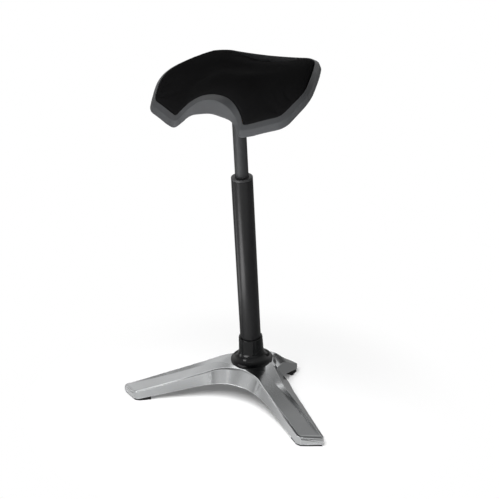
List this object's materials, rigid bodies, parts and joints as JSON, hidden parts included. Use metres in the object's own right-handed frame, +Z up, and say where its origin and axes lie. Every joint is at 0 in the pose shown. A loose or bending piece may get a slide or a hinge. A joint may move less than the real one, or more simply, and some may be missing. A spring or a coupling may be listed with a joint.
{
  "type": "perch stool",
  "caption": "Perch stool with a padded saddle seat on a leaning height-adjustable column over a low cast-metal base with splayed legs.",
  "frame": {"origin": "on the floor, under the middle of the bounding box of the stool", "axes": "+Z up; the sitter faces -Y; +X is at the sitter's left; the stool is mirrored about X = 0 but for its release lever, which is at -X"},
  "size_m": [0.538, 0.3444, 0.8241],
  "materials": {
    "polished_metal": "brushed and polished",
    "satin_black": "satin",
    "gloss_black": "glossy",
    "grey_metal": "matt",
    "shell_grey": "fine grain",
    "seat_fabric": "soft weave",
    "black_rubber": "matt",
    "bright_steel": "satin",
    "dark_plastic": "matt",
    "board_wood": "plain plywood"
  },
  "bodies": {
    "base": {"base_casting": "polished_metal", "foot_pad_left": "black_rubber", "foot_pad_right": "black_rubber", "foot_pad_rear": "black_rubber", "foot_screw_left": "bright_steel", "foot_screw_right": "bright_steel", "foot_screw_rear": "bright_steel", "column_cover": "gloss_black", "support_tube": "satin_black", "guide_bush": "dark_plastic", "bearing_washer_lower": "bright_steel", "bearing_cage": "bright_steel"},
    "core": {"piston_rod": "bright_steel", "piston_head": "dark_plastic", "bearing_washer_upper": "bright_steel", "bump_stop": "black_rubber", "rod_clip": "bright_steel"},
    "seat": {"lift_cylinder": "grey_metal", "cylinder_gland": "bright_steel", "seat_carrier": "grey_metal", "lever_pivot": "bright_steel", "seat_shell": "shell_grey", "cushion_board": "board_wood", "seat_cushion": "seat_fabric", "seat_bolt_front_right": "bright_steel", "insert_front_right": "bright_steel", "seat_bolt_front_left": "bright_steel", "insert_front_left": "bright_steel", "seat_bolt_rear_right": "bright_steel", "insert_rear_right": "bright_steel", "seat_bolt_rear_left": "bright_steel", "insert_rear_left": "bright_steel"},
    "lever": {"release_lever": "dark_plastic"},
    "pin": {"release_pin": "bright_steel"}
  },
  "joints": [
    {"name": "seat_swivel", "type": "hinge", "parent": "base", "child": "core", "pos_m": [0, 0.03517, 0], "axis": [0, -0.0962, 0.9954], "continuous": true},
    {"name": "seat_height", "type": "slide", "parent": "core", "child": "seat", "axis": [0, -0.0962, 0.9954], "range_m": [-0.11, 0.085]},
    {"name": "release_lever", "type": "hinge", "parent": "seat", "child": "lever", "pos_m": [-0.016, -0.03828, 0.75996], "axis": [0, 0.9781, 0.2079], "range_deg": [0, 9], "stiffness_Nm_per_rad": 1, "springref_deg": -8.59},
    {"name": "release_pin", "type": "slide", "parent": "seat", "child": "pin", "axis": [0, -0.0962, 0.9954], "range_m": [-0.0032, 0]}
  ],
  "couplings": [
    {"joint": "release_pin", "follows": "release_lever", "m_per_rad": -0.0195}
  ]
}
